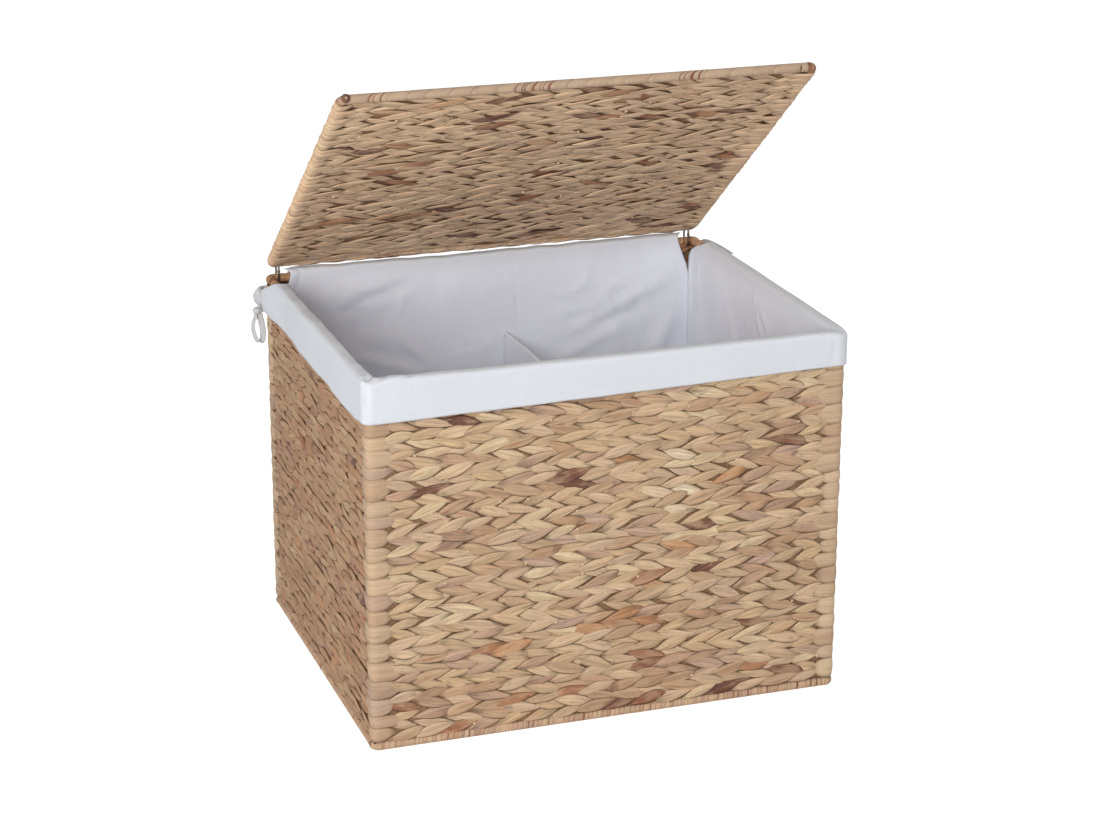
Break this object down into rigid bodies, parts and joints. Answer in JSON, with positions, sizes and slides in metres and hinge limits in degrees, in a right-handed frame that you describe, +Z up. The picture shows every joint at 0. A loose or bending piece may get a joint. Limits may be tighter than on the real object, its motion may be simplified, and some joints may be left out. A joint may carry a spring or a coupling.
{
  "type": "lidded laundry basket",
  "caption": "Box-shaped woven leaf basket on a wire frame, with a lid on wire links and a cloth liner that folds over the rim and parts the inside.",
  "frame": {"origin": "on the floor under the middle of the basket body, without the lid", "axes": "+Z up, front towards -Y, hinge side towards +Y, +X to the right seen from the front"},
  "size_m": [0.6042, 0.4769, 0.7341],
  "materials": {
    "woven_leaf": "flat dried leaf, twined in rows, matt",
    "bound_leaf": "narrow dried leaf wound round the rails, slightly glossy",
    "frame_wire": "welded round wire, dark paint, hidden in the weave",
    "hinge_wire": "bare bent wire",
    "liner_cloth": "white slubby cotton, sewn"
  },
  "bodies": {
    "basket": {"base_corner_binding_back_left": "bound_leaf", "base_corner_binding_back_right": "bound_leaf", "base_corner_binding_front_left": "bound_leaf", "base_corner_binding_front_right": "bound_leaf", "base_rail_whipping_back": "bound_leaf", "base_rail_whipping_front": "bound_leaf", "base_rail_whipping_left": "bound_leaf", "base_rail_whipping_right": "bound_leaf", "basket_wire_frame": "frame_wire", "corner_post_wrap_back_left": "woven_leaf", "corner_post_wrap_back_right": "woven_leaf", "corner_post_wrap_front_left": "woven_leaf", "corner_post_wrap_front_right": "woven_leaf", "liner_bottom": "liner_cloth", "liner_divider": "liner_cloth", "liner_panel_back": "liner_cloth", "liner_panel_front": "liner_cloth", "liner_panel_left": "liner_cloth", "liner_panel_right": "liner_cloth", "rim_corner_binding_back_left": "bound_leaf", "rim_corner_binding_back_right": "bound_leaf", "rim_corner_binding_front_left": "bound_leaf", "rim_corner_binding_front_right": "bound_leaf", "rim_rail_whipping_back": "bound_leaf", "rim_rail_whipping_front": "bound_leaf", "rim_rail_whipping_left": "bound_leaf", "rim_rail_whipping_right": "bound_leaf", "tie_bow_loop_left": "liner_cloth", "tie_knot_left": "liner_cloth", "tie_lower_knot_left": "liner_cloth", "tie_tape_left": "liner_cloth", "tie_tape_right": "liner_cloth", "woven_floor": "woven_leaf", "woven_wall_back": "woven_leaf", "woven_wall_front": "woven_leaf", "woven_wall_left": "woven_leaf", "woven_wall_right": "woven_leaf"},
    "hinge_links": {"hinge_link_left": "hinge_wire", "hinge_link_right": "hinge_wire"},
    "lid": {"lid_corner_binding_back_left": "bound_leaf", "lid_corner_binding_back_right": "bound_leaf", "lid_corner_binding_front_left": "bound_leaf", "lid_corner_binding_front_right": "bound_leaf", "lid_rail_whipping_back": "bound_leaf", "lid_rail_whipping_front": "bound_leaf", "lid_rail_whipping_left": "bound_leaf", "lid_rail_whipping_right": "bound_leaf", "lid_wire_frame": "frame_wire", "lid_woven_panel": "woven_leaf"}
  },
  "joints": [
    {"name": "link_swing", "type": "hinge", "parent": "basket", "child": "hinge_links", "pos_m": [0, 0.227, 0.4295], "axis": [-1, 0, 0], "range_deg": [0, 80]},
    {"name": "lid_hinge", "type": "hinge", "parent": "hinge_links", "child": "lid", "pos_m": [0, 0.227, 0.449], "axis": [-1, 0, 0], "range_deg": [-38, 127]}
  ]
}
